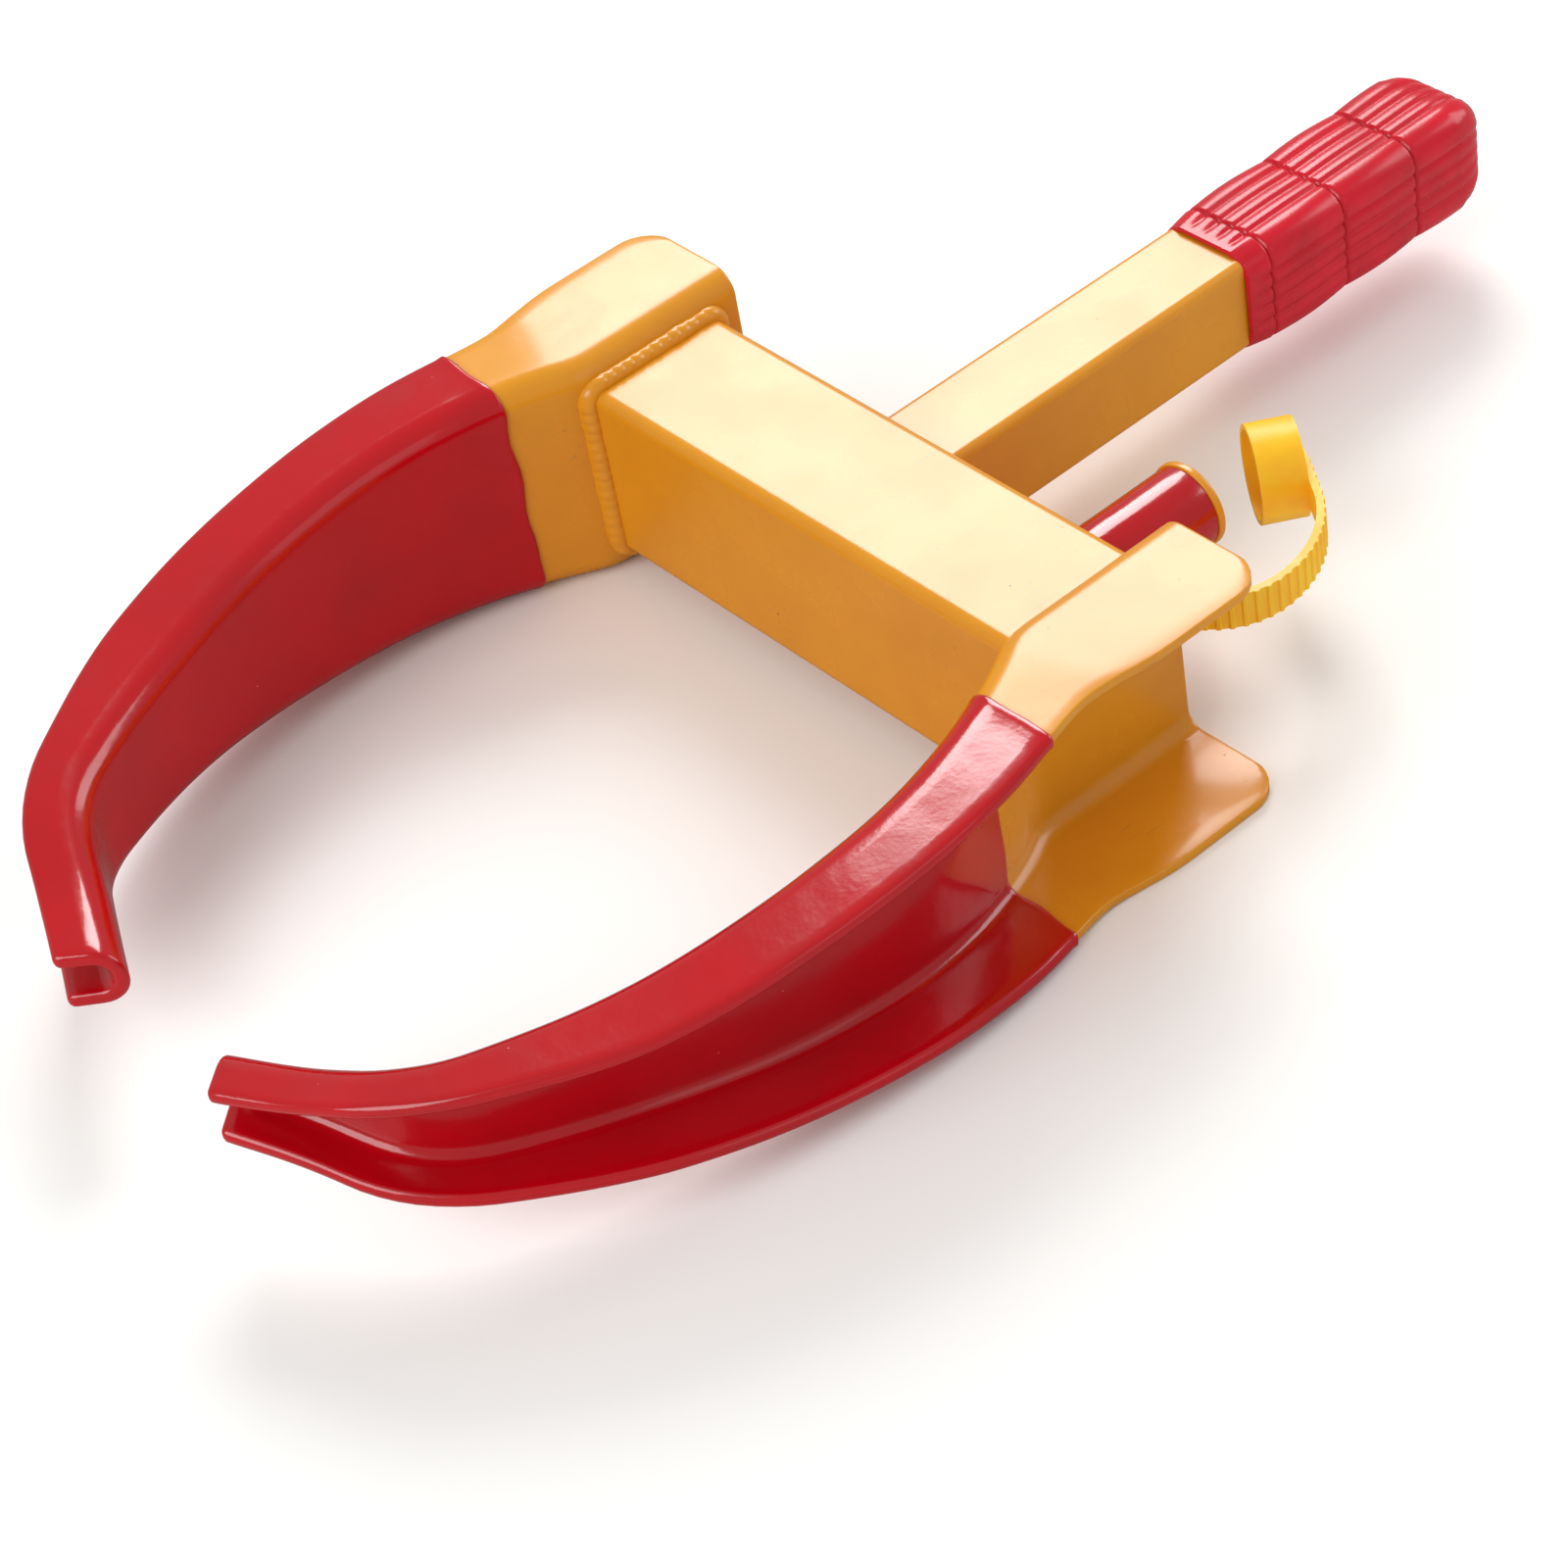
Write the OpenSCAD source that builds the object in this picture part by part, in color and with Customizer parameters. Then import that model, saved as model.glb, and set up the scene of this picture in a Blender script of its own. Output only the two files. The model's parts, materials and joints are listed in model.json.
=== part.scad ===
/* [Outer tube] */
// Length of the outer tube
tube_l = 179; // [150:1:240]
// Depth of the outer tube, front to back
tube_d = 50; // [44:1:60]
// Height of the outer tube
tube_h = 60; // [50:1:66]
// Wall of the outer tube
tube_wall = 3; // [2:0.5:4]
// Outside corner radius of the outer tube
tube_r = 4; // [3:0.5:6]

/* [Claws] */
// Plate thickness of the claws
plate_t = 3; // [2:0.5:4]
// Outside bend radius of the plate
bend_r = 8; // [7:0.5:12]
// Height of a claw at its root
claw_h = 78.4; // [76:0.2:90]
// Width of a flange at the root
flange_w = 40.5; // [34:0.1:44]
// How far a claw stands past the back of the tube
claw_back = 9; // [6:0.5:10.5]
// Radius of a flange's back corner, seen from above
flange_corner = 12; // [6:1:20]
// Thickness of the dipped coating
skin_t = 0.8; // [0.5:0.1:1.2]
// Lean of the cut at a claw's tip: how much sooner it ends per unit of flange width
tip_lean = 0.28; // [0:0.02:0.4]
// Distance from the tube's front at which the coating starts
skin_start = 25; // [20:1:60]
// Lean of the coating's edge: how much later it starts per unit of flange width
skin_lean = 0.28; // [0:0.02:0.4]
// Gap between the closed moving claw and the outer tube
claw_gap = 2; // [1:0.1:3]

/* [Slide] */
// Travel of the moving claw
slide_travel = 100; // [60:10:100]
// Distance between locking holes
hole_pitch = 20; // [20:1:25]
// Length of the slide tube
slide_l = 164; // [150:1:168]
// Wall of the slide tube
slide_wall = 2.5; // [2:0.5:3]
// Gap between slide tube and outer tube, each side
slide_gap = 0.3; // [0.2:0.05:0.6]

/* [Handle] */
// Width of the square handle tube
handle_w = 32; // [25:1:36]
// Wall of the handle tube
handle_wall = 2; // [1.5:0.5:3]
// Sideways place of the handle from the tube's middle
handle_x = -10.8; // [-20:0.1:-4]
// Bare length of handle between tube and grip
handle_bare = 127; // [80:1:160]
// Length of the grip
grip_l = 111; // [90:1:130]
// Wall of the grip over the handle tube
grip_wall = 3.25; // [2.5:0.05:5]
// Length of the grip's solid end
grip_solid = 21; // [17:1:40]

/* [Lock] */
// Distance of the lock axis from the open end of the tube
lock_inset = 30.5; // [24:0.5:36]
// Length of the lock housing
housing_l = 50; // [50:1:70]
// Wall of the lock housing
housing_wall = 1.55; // [1.2:0.05:3]
// Wall of the collar at its mouth
collar_wall = 1.2; // [0.9:0.1:2]
// Diameter of the chrome lock barrel
barrel_d = 21.6; // [20:0.1:26]
// How far the barrel face sits below the collar at rest
face_recess = 1; // [0.5:0.1:2]
// How far the lock pushes in
lock_travel = 8; // [7:0.5:8]
// Diameter of the locking bolt
bolt_d = 10; // [8:0.1:10]
// Diameter of the round plug
plug_d = 12.9; // [11:0.1:14]

/* [Dust cap] */
// Outside diameter of the cap
cap_d = 30; // [29.5:0.1:33]
// Depth of the cap
cap_l = 14; // [10:0.5:16]
// Width of the strap
strap_w = 11.5; // [8:0.5:14]
// Thickness of the strap
strap_t = 2.2; // [1.6:0.1:3]

/* [Hidden] */

YELLOW = "#e2a53c";
RED = "#c4161f";
CHROME = "#c9cdd2";
STEEL = "#8f9296";
CAP_YELLOW = "#f6b21a";

// Origin: middle of the tube's front face. X along the tube, -Y towards the claw tips.
$fn = 64;
eps = 0.01;

// ---- places that several pieces share ----
web_left = -(tube_l + claw_gap) / 2;   // mouth side of the fixed claw's web
tube_x0 = web_left;
tube_x1 = tube_x0 + tube_l;            // open end of the outer tube
web_right = tube_x1 + claw_gap;        // mouth side of the moving claw's web
lock_x = tube_x1 - lock_inset;
running = 0.05;                        // radial clearance of turning and sliding fits
side_gap = 0.1;                        // clearance each side of keys and slots

// ---- paths seen from above, as runs of [length, turn in degrees] ----
// A state is [x, y, heading]: heading 0 points along -Y, 90 along +X.
function advance(p, l, turn) =
    turn == 0 ? [p[0] + l * sin(p[2]), p[1] - l * cos(p[2]), p[2]]
    : let (r = l / turn * 180 / PI, h = p[2] + turn)
      [p[0] + r * (cos(p[2]) - cos(h)), p[1] - r * (sin(h) - sin(p[2])), h];
function state_at(runs, s, p, i = 0) =
    let (l = runs[i][0], turn = runs[i][1])
    (s <= l || i == len(runs) - 1) ? advance(p, s, turn * s / l)
    : state_at(runs, s - l, advance(p, l, turn), i + 1);
function run_start(runs, i) = i == 0 ? 0 : run_start(runs, i - 1) + runs[i - 1][0];

// ---- claws: straight root, bend outwards, long curve inwards, tight curve, straight tip ----
root_l = tube_d + claw_back;           // path length at the tube's front face
bend_start = 4.5;                      // the bend starts this far behind the front face
CLAW_RUNS = [[root_l - bend_start, 0], [11.5, 28.6], [70.5, -28.6],
             [113.5, -27.3], [29, -38], [41.8, 0]];
CLAW_STEPS = [1, 6, 8, 9, 6, 4];
claw_s = run_start(CLAW_RUNS, len(CLAW_RUNS));
// Flange width as a share of the root width, at distances past the tube's front
WIDTH_AT = [[-70, 1], [-2, 1], [24, 0.74], [50, 0.675], [85, 0.635], [150, 0.60],
            [186, 0.475], [206, 0.42], [259, 0.41], [290, 0.41]];
// Half height as a share of the root's, at distances past the tube's front
HEIGHT_AT = [[-70, 1], [6, 1], [28, 0.965], [60, 0.89], [105, 0.757], [150, 0.6],
             [204, 0.475], [234, 0.3], [259, 0.224], [290, 0.175]];

// Smooth curve through the points of a table
function slope(t, i) = (t[i + 1][1] - t[i - 1][1]) / (t[i + 1][0] - t[i - 1][0]);
function smooth_at(t, x, i = 1) =
    (x <= t[i + 1][0] || i == len(t) - 3)
    ? let (d = t[i + 1][0] - t[i][0], k = (x - t[i][0]) / d)
      x <= t[1][0] ? t[1][1]
      : t[i][1] * (1 + 2 * k) * (1 - k) * (1 - k) + slope(t, i) * d * k * (1 - k) * (1 - k)
        + t[i + 1][1] * k * k * (3 - 2 * k) - slope(t, i + 1) * d * k * k * (1 - k)
    : smooth_at(t, x, i + 1);

// Width of the flange, rounded off at the back corner
function corner_cut(s) =
    let (c = max(0, flange_corner - s))
    flange_corner - sqrt(flange_corner * flange_corner - c * c);
function width_at(s) = flange_w * smooth_at(WIDTH_AT, s - root_l) - corner_cut(s);
function half_at(s) = claw_h / 2 * smooth_at(HEIGHT_AT, s - root_l);

// C-section at a station: points of [outward, z], grown by skin on every side
bend_steps = 5;
function bend(cx, cz, r, a0, a1) =
    [for (k = [0:bend_steps]) let (a = a0 + (a1 - a0) * k / bend_steps)
        [cx + r * cos(a), cz + r * sin(a)]];
function section(w, h, skin) =
    let (r = min(bend_r, h - 0.5), ro = r + skin, ri = r - plate_t - skin, z = h - r)
    concat([[w + skin, h + skin]],
           bend(r, z, ro, 90, 180), bend(r, -z, ro, 180, 270),
           [[w + skin, -h - skin]],
           [[w + skin, -h + plate_t + skin]],
           bend(r, -z, ri, 270, 180), bend(r, z, ri, 180, 90),
           [[w + skin, h - plate_t - skin]]);

// Direction of a section. Over the outward lean it turns more slowly than the path,
// so that neighbouring sections don't cross at the flanges' edges.
fan_s0 = root_l - 30;
fan_s1 = root_l + 22;
fan_turn = state_at(CLAW_RUNS, fan_s1, [0, root_l, 0])[2];
function fan_angle(s, heading) =
    let (k = (s - fan_s0) / (fan_s1 - fan_s0))
    k <= 0 || k >= 1 ? heading : fan_turn * k * k * (3 - 2 * k);

// A claw swept through its stations, as the moving claw: outwards is +X.
// In a leaning ring, each point's station is later by lean times its outward distance.
function place(s, q, reach) =
    let (p = state_at(CLAW_RUNS, s, [0, root_l, 0]), a = fan_angle(s, p[2]))
    [p[0] + q[0] * cos(a) + reach * sin(a), p[1] + q[0] * sin(a) - reach * cos(a), q[1]];
function ring_at(s, skin, reach = 0, lean = 0) =
    let (outline = section(width_at(s), half_at(s), skin))
    [for (j = [0:len(outline) - 1])
        let (at = s + lean * outline[j][0],
             q = lean == 0 ? outline[j] : section(width_at(at), half_at(at), skin)[j])
        place(at, q, reach)];
// Skin over rings of equal length. Each end is closed by quads between a ring's two halves.
module swept(rings) {
    n = len(rings);
    m = len(rings[0]);
    function at(i, j) = i * m + j % m;
    polyhedron(
        points = [for (r = rings) each r],
        faces = concat(
            [for (j = [0:m / 2 - 2]) [j, j + 1, m - 2 - j, m - 1 - j]],
            [for (i = [0:n - 2], j = [0:m - 1]) [at(i, j), at(i + 1, j), at(i, j + 1)]],
            [for (i = [0:n - 2], j = [0:m - 1]) [at(i, j + 1), at(i + 1, j), at(i + 1, j + 1)]],
            [for (j = [0:m / 2 - 2])
                [at(n - 1, m - 1 - j), at(n - 1, m - 2 - j), at(n - 1, j + 1), at(n - 1, j)]]));
}
corner_steps = 5;
STATIONS = concat(
    [for (k = [0:corner_steps]) flange_corner * (1 - cos(90 * k / corner_steps)) + eps],
    [for (i = [0:len(CLAW_RUNS) - 1], k = [1:CLAW_STEPS[i]])
        min(claw_s, run_start(CLAW_RUNS, i) + CLAW_RUNS[i][0] * k / CLAW_STEPS[i])]);
module claw() {
    translate([web_right, 0, 0])
        swept([for (s = STATIONS) ring_at(s, 0, 0, s < claw_s ? 0 : -tip_lean)]);
}
module claw_coating() {
    s0 = root_l + skin_start;
    s1 = s0 + skin_lean * flange_w + 1;
    rings = concat([ring_at(s0, skin_t, 0, skin_lean)],
                   [for (s = STATIONS) if (s > s1 && s < claw_s) ring_at(s, skin_t)],
                   [ring_at(claw_s, skin_t, skin_t, -tip_lean)]);
    difference() {
        translate([web_right, 0, 0]) swept(rings);
        claw();
    }
}
// From the moving claw's side to the fixed claw's side
module other_side() {
    translate([web_left + web_right, 0, 0]) mirror([1, 0, 0]) children();
}

// ---- frame ----
// Round-cornered bar along +X from the origin, centred in Y and Z
module round_bar(l, d, h, r) {
    rotate([90, 0, 90]) linear_extrude(l) union() {
        square([d - 2 * r, h], center = true);
        square([d, h - 2 * r], center = true);
        for (x = [-1, 1], y = [-1, 1])
            translate([x * (d / 2 - r), y * (h / 2 - r)]) circle(r);
    }
}
tube_mid = tube_d / 2;
bolt_hole_d = bolt_d + 0.6;
module outer_tube() {
    color(YELLOW) difference() {
        translate([tube_x0, tube_mid, 0]) round_bar(tube_l, tube_d, tube_h, tube_r);
        translate([tube_x0 - 1, tube_mid, 0])
            round_bar(tube_l + 2, tube_d - 2 * tube_wall, tube_h - 2 * tube_wall,
                      tube_r - tube_wall);
        along_lock(tube_d - tube_wall - 1) cylinder(h = tube_wall + 2, d = bolt_hole_d);
    }
}
module fixed_claw() { color(YELLOW) other_side() claw(); }
module fixed_claw_coating() { color(RED) other_side() claw_coating(); }

// Quarter-round bead that runs round a bar's foot on a flat face at x = 0
module foot_bead(d, h, bead) {
    intersection() {
        translate([0, -d / 2 - bead, -h / 2 - bead]) cube([bead, d + 2 * bead, h + 2 * bead]);
        difference() {
            union() {
                for (y = [-1, 1]) translate([0, y * d / 2, -h / 2]) cylinder(h = h, r = bead);
                for (z = [-1, 1]) translate([0, -d / 2, z * h / 2])
                    rotate([-90, 0, 0]) cylinder(h = d, r = bead);
                for (y = [-1, 1], z = [-1, 1]) translate([0, y * d / 2, z * h / 2]) sphere(bead);
            }
            translate([-1, -d / 2, -h / 2]) cube([bead + 2, d, h]);
        }
    }
}
claw_bead = 4;
module fixed_claw_weld() {
    color(YELLOW) difference() {
        translate([tube_x0, tube_mid, 0]) foot_bead(tube_d, tube_h, claw_bead);
        // the front face stays flat for the tyre
        translate([tube_x0 - 1, -claw_bead - 1, -tube_h])
            cube([claw_bead + 2, claw_bead + 1, 2 * tube_h]);
    }
}

// ---- handle ----
grip_y0 = tube_d + handle_bare;
grip_w = handle_w + 2 * grip_wall;
grip_depth = grip_l - grip_solid;      // depth that the handle tube reaches into the grip
handle_l = handle_bare + grip_depth;
module along_handle(y) { translate([handle_x, y, 0]) rotate([-90, 0, 0]) children(); }
handle_r = 3;
module square_bar(l, w, r) {
    linear_extrude(l) union() {
        square([w - 2 * r, w], center = true);
        square([w, w - 2 * r], center = true);
        for (x = [-1, 1], y = [-1, 1]) translate([x, y] * (w / 2 - r)) circle(r);
    }
}
module handle_tube() {
    color(YELLOW) along_handle(tube_d) difference() {
        square_bar(handle_l, handle_w, handle_r);
        translate([0, 0, -1])
            square_bar(handle_l + 2, handle_w - 2 * handle_wall, handle_r - handle_wall);
    }
}
handle_bead = 3.5;
module handle_weld() {
    color(YELLOW) translate([handle_x, tube_d, 0]) rotate([0, 0, 90])
        foot_bead(handle_w, handle_w, handle_bead);
}

// Grip: rounded square with lengthwise flutes, ring grooves and a domed end
grip_corner = 0.3;                     // corner rounding as a share of the half width
grip_rings = [10, 42, 74];             // distance of each ring groove from the mouth
dome_l = 15;
grip_sides = 64;
// Half width that follows a rounded square: a circle pushed out towards its corners
function square_r(a, n = 7) = pow(pow(abs(cos(a)), n) + pow(abs(sin(a)), n), -1 / n);
flute_n = 16;
flute_depth = 0.9;
function flute(a) = flute_depth * pow(abs(cos(a * flute_n / 2)), 6);
groove_depth = 1.1;
groove_half = 1.6;
function groove(y) =
    groove_depth * max([for (g = grip_rings) max(0, 1 - abs(y - g) / groove_half)]);
function dome(y) =
    let (k = max(0, (y - (grip_l - dome_l)) / dome_l)) sqrt(max(0, 1 - 0.86 * k * k));
function mouth(y) = 1.2 * max(0, 1 - y / 12);
function grip_ring(y) =
    [for (j = [0:grip_sides - 1]) let (a = 45 + 360 * (j + 0.5) / grip_sides,
        r = (grip_w / 2 - groove(y) - mouth(y)) * square_r(a) - flute(a) * min(1, y / 12))
        [r * dome(y) * cos(a), r * dome(y) * sin(a), y]];
function grip_stations() =
    concat([0, 4, 8.2], [for (g = grip_rings) each [g - groove_half, g, g + groove_half]],
           [for (k = [0:6]) grip_l - dome_l + dome_l * sin(15 * k)]);
module handle_grip() {
    color(RED) along_handle(grip_y0) difference() {
        swept([for (y = grip_stations()) grip_ring(y)]);
        translate([0, 0, -1]) square_bar(grip_depth + 1, handle_w, handle_r);
    }
}

// ---- lock housing, on the back of the outer tube ----
module along_lock(y) { translate([lock_x, y, 0]) rotate([-90, 0, 0]) children(); }
module tube(l, od, id) {
    difference() {
        cylinder(h = l, d = od);
        translate([0, 0, -1]) cylinder(h = l + 2, d = id);
    }
}
housing_bore = barrel_d + 2 * running;
housing_d = housing_bore + 2 * housing_wall;
collar_d = housing_d + 2 * collar_wall;
collar_l = 2.5;
sleeve_t = 0.6;
sleeve_d = housing_d + 2 * sleeve_t;
housing_bead = 3.5;
pin_r = 1.5;
face_y = tube_d + housing_l - face_recess;
barrel_l = lock_travel + 17;
barrel_y = face_y - barrel_l;          // back face of the barrel
pin_y = barrel_y + 12;                 // retaining pin
module housing_pin_hole() {
    translate([lock_x, pin_y, 0]) cylinder(h = housing_d, r = pin_r);
}
module lock_housing() {
    color(STEEL) difference() {
        along_lock(tube_d) tube(housing_l, housing_d, housing_bore);
        housing_pin_hole();
    }
}
module housing_sleeve() {
    color(RED) along_lock(tube_d + housing_bead)
        tube(housing_l - housing_bead - collar_l, sleeve_d, housing_d);
}
module housing_collar() {
    color(YELLOW) along_lock(tube_d + housing_l - collar_l) tube(collar_l, collar_d, housing_d);
}
module housing_weld() {
    color(YELLOW) along_lock(tube_d) rotate_extrude() difference() {
        translate([housing_d / 2, 0]) square([housing_bead, housing_bead]);
        translate([housing_d / 2 + housing_bead, housing_bead]) circle(housing_bead);
    }
}
slot_depth = 2.4;
pin_tip = barrel_d / 2 - slot_depth + side_gap;
module retaining_pin() {
    color(STEEL) translate([lock_x, pin_y, pin_tip])
        cylinder(h = housing_d / 2 - pin_tip - 0.4, r = pin_r);
}
ring_y = tube_d + 5;                   // inner face of the stop ring
ring_l = 3;
lug_r = bolt_d / 2 + 2.4;
lug_w = 4.6;
lug_l = 2;
module bolt_ring() {
    color(STEEL) difference() {
        along_lock(ring_y) tube(ring_l, housing_bore, bolt_d + 2 * running);
        along_lock(ring_y - 1)
            translate([-lug_r - 0.4, -lug_w / 2 - 0.4, 0]) cube([2 * lug_r + 0.8, lug_w + 0.8, ring_l + 2]);
    }
}

// ---- moving jaw ----
slide_d = tube_d - 2 * (tube_wall + slide_gap);
slide_h = tube_h - 2 * (tube_wall + slide_gap);
slide_r = 2.2;
hole_count = floor(slide_travel / hole_pitch + 0.001) + 1;
module slide_tube() {
    color(STEEL) difference() {
        translate([web_right - slide_l, tube_mid, 0]) round_bar(slide_l, slide_d, slide_h, slide_r);
        translate([web_right - slide_l - 1, tube_mid, 0])
            round_bar(slide_l + 2, slide_d - 2 * slide_wall, slide_h - 2 * slide_wall, 0.6);
        for (i = [0:hole_count - 1])
            translate([lock_x - i * hole_pitch, tube_d - tube_wall - slide_gap - slide_wall - 1, 0])
                rotate([-90, 0, 0]) cylinder(h = slide_wall + 2, d = bolt_hole_d);
    }
}
module moving_claw() { color(YELLOW) claw(); }
module moving_claw_coating() { color(RED) claw_coating(); }
slide_bead = 1.6;
module slide_weld() {
    color(STEEL) translate([web_right, tube_mid, 0]) mirror([1, 0, 0])
        foot_bead(slide_d, slide_h, slide_bead);
}

// ---- lock, drawn at rest: pushed out by its spring ----
back_wall = 3;
disc_d = barrel_d - 3.6;
disc_t = 2.5;
key_hole_d = plug_d - 1.9;
key_notch_w = 2.2;
key_notch_r = key_hole_d / 2 + 2.1;
spindle_d = key_hole_d - 4.1;
plug_recess = 6;
slot_y0 = pin_y - pin_r - side_gap;
slot_y1 = pin_y + pin_r + lock_travel + side_gap;
module lock_body() {
    color(CHROME) difference() {
        along_lock(barrel_y) difference() {
            cylinder(h = barrel_l, d = barrel_d);
            translate([0, 0, back_wall]) cylinder(h = barrel_l, d = plug_d + 2 * running);
            translate([0, 0, barrel_l - disc_t]) cylinder(h = disc_t + 1, d = disc_d);
            translate([0, 0, -1]) cylinder(h = back_wall + 2, d = bolt_d + 2 * running);
        }
        // slot that the retaining pin runs in
        translate([lock_x - pin_r - side_gap, slot_y0, barrel_d / 2 - slot_depth])
            cube([2 * (pin_r + side_gap), slot_y1 - slot_y0, slot_depth + 1]);
    }
}
module face_disc() {
    color(CHROME) along_lock(face_y - disc_t) difference() {
        cylinder(h = disc_t, d = disc_d);
        translate([0, 0, -1]) cylinder(h = disc_t + 2, d = key_hole_d);
        // the key's notch, at the bottom
        translate([-key_notch_w / 2, 0, -1]) cube([key_notch_w, key_notch_r, disc_t + 2]);
    }
}
spring_wire = 0.6;
spring_r = housing_bore / 2 - spring_wire - 0.4;
spring_y0 = ring_y + ring_l;
spring_turns = 4;
spring_steps = 14;
spring_sides = 6;
function coil_ring(k) =
    let (a = 360 * k / spring_steps, l = barrel_y - spring_y0 - 2 * spring_wire,
         z = spring_wire + l * k / (spring_turns * spring_steps))
    [for (j = [0:spring_sides - 1]) let (b = 360 * j / spring_sides,
        r = spring_r + spring_wire * cos(b))
        [r * cos(a), r * sin(a), z + spring_wire * sin(b)]];
module bolt_spring() {
    color(STEEL) along_lock(spring_y0)
        swept([for (k = [0:spring_turns * spring_steps]) coil_ring(k)]);
}

// ---- plug, turned by the key ----
plug_y = barrel_y + back_wall;
plug_l = barrel_l - back_wall - plug_recess;
tumbler_n = 7;
tumbler_ring_r = (spindle_d + key_hole_d) / 4;
tumbler_r = 0.8;
tumbler_l = 6;
tumbler_spring_l = 4;
center_pin_r = 1.5;
tang_w = 3;
module tumbler_holes(y, l, r) {
    along_lock(y) for (i = [0:tumbler_n - 1]) rotate(360 * (i + 0.5) / tumbler_n)
        translate([tumbler_ring_r, 0, 0]) cylinder(h = l, r = r, $fn = 24);
}
module plug() {
    color(CHROME) difference() {
        along_lock(plug_y) difference() {
            union() {
                cylinder(h = plug_l, d = plug_d);
                cylinder(h = plug_l + plug_recess - 0.6, d = spindle_d);
            }
            translate([0, 0, plug_l - 4]) cylinder(h = plug_recess + 5, r = center_pin_r);
            translate([-plug_d, -tang_w / 2, -1]) cube([2 * plug_d, tang_w, 3]);
        }
        tumbler_holes(plug_y + plug_l - tumbler_l - tumbler_spring_l,
                      tumbler_l + tumbler_spring_l + 1, tumbler_r);
    }
}
module tumbler_pins() {
    color(STEEL) tumbler_holes(plug_y + plug_l - tumbler_l, tumbler_l, tumbler_r);
}
module tumbler_springs() {
    color(STEEL) difference() {
        tumbler_holes(plug_y + plug_l - tumbler_l - tumbler_spring_l, tumbler_spring_l, tumbler_r);
        tumbler_holes(plug_y, plug_l, tumbler_r - 0.3);
    }
}
module center_pin() {
    color(CHROME) along_lock(plug_y + plug_l - 4) difference() {
        cylinder(h = 4 + plug_recess - 0.6, r = center_pin_r);
        translate([0, 0, 4 + plug_recess - 0.6]) sphere(0.8);
    }
}
bolt_tip_y = tube_d - 2;
module locking_bolt() {
    color(STEEL) union() {
        along_lock(bolt_tip_y) cylinder(h = plug_y - bolt_tip_y, d = bolt_d);
        // lugs that pass the stop ring's slots when pushed in, and turn behind it
        intersection() {
            along_lock(spring_y0 + 1) translate([-lug_r, -lug_w / 2, 0])
                cube([2 * lug_r, lug_w, lug_l]);
            along_lock(spring_y0 + 1) cylinder(h = lug_l, r = lug_r);
        }
        // tang in the plug's slot
        intersection() {
            along_lock(plug_y) translate([-plug_d, -tang_w / 2, 0]) cube([2 * plug_d, tang_w, 2]);
            along_lock(plug_y) cylinder(h = 2, d = bolt_d);
        }
    }
}

// ---- dust cap: ring on the housing, ribbed strap, cup ----
ring_gap = 0.1;
cap_ring_y = tube_d + 8.5;             // middle of the ring's thickness
cap_ring_d = sleeve_d + 4;
strap_x0 = lock_x + sleeve_d / 2 + 1.5;
cap_wall = 1.7;
cap_sink = 0.2;                        // how far the cup's face reaches into the strap
// Up from the ring, along +X behind the claw, round towards the back, back over the lock
STRAP_RUNS = [[9, -60], [39.3, 90], [39.4, 56.5], [19.3, 0]];
strap_s = run_start(STRAP_RUNS, len(STRAP_RUNS));
STRAP_START = [strap_x0, cap_ring_y, 150];
rib_pitch = 3.7;
rib_h = 0.5;
rib_w = 1.8;
rib_top_w = 1;
rib_from = 6;
// Point beside the path: side +1 is the ribbed outside, -1 the smooth inside
function strap_point(s, side, out = 0) =
    let (p = state_at(STRAP_RUNS, s, STRAP_START), d = side * (strap_t / 2 + out))
    [p[0] - d * cos(p[2]), p[1] - d * sin(p[2])];
module strap_outline() {
    polygon(concat(
        [strap_point(0, 1)],
        [for (s = [rib_from:rib_pitch:strap_s - rib_w])
            each [strap_point(s - rib_w / 2, 1), strap_point(s - rib_top_w / 2, 1, rib_h),
                  strap_point(s + rib_top_w / 2, 1, rib_h), strap_point(s + rib_w / 2, 1)]],
        [strap_point(strap_s, 1)],
        [for (s = [strap_s:-3:0]) strap_point(s, -1)],
        [strap_point(0, -1)]));
}
module dust_cap() {
    tip = state_at(STRAP_RUNS, strap_s, STRAP_START);
    color(CAP_YELLOW) {
        along_lock(cap_ring_y - strap_t / 2 - 0.2)
            tube(strap_t + 0.4, cap_ring_d, sleeve_d + 2 * ring_gap);
        translate([0, 0, -strap_w / 2]) linear_extrude(strap_w) strap_outline();
        // the cup hangs on the strap's smooth side and opens towards the lock
        translate([tip[0], tip[1], 0]) rotate(tip[2])
            translate([strap_t / 2 - cap_sink, 0, 0]) rotate([0, 90, 0]) cup();
    }
}
module cup() {
    difference() {
        cylinder(h = cap_l, d = cap_d);
        translate([0, 0, cap_wall]) cylinder(h = cap_l, d = cap_d - 2 * cap_wall);
    }
}

outer_tube();
fixed_claw();
fixed_claw_coating();
fixed_claw_weld();
handle_tube();
handle_weld();
handle_grip();
lock_housing();
housing_sleeve();
housing_collar();
housing_weld();
retaining_pin();
bolt_ring();
slide_tube();
moving_claw();
moving_claw_coating();
slide_weld();
lock_body();
face_disc();
bolt_spring();
plug();
tumbler_pins();
tumbler_springs();
center_pin();
locking_bolt();
dust_cap();
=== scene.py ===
import json
import math

import bmesh
import bpy
import numpy as np
from mathutils import Matrix, Vector, noise

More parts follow.
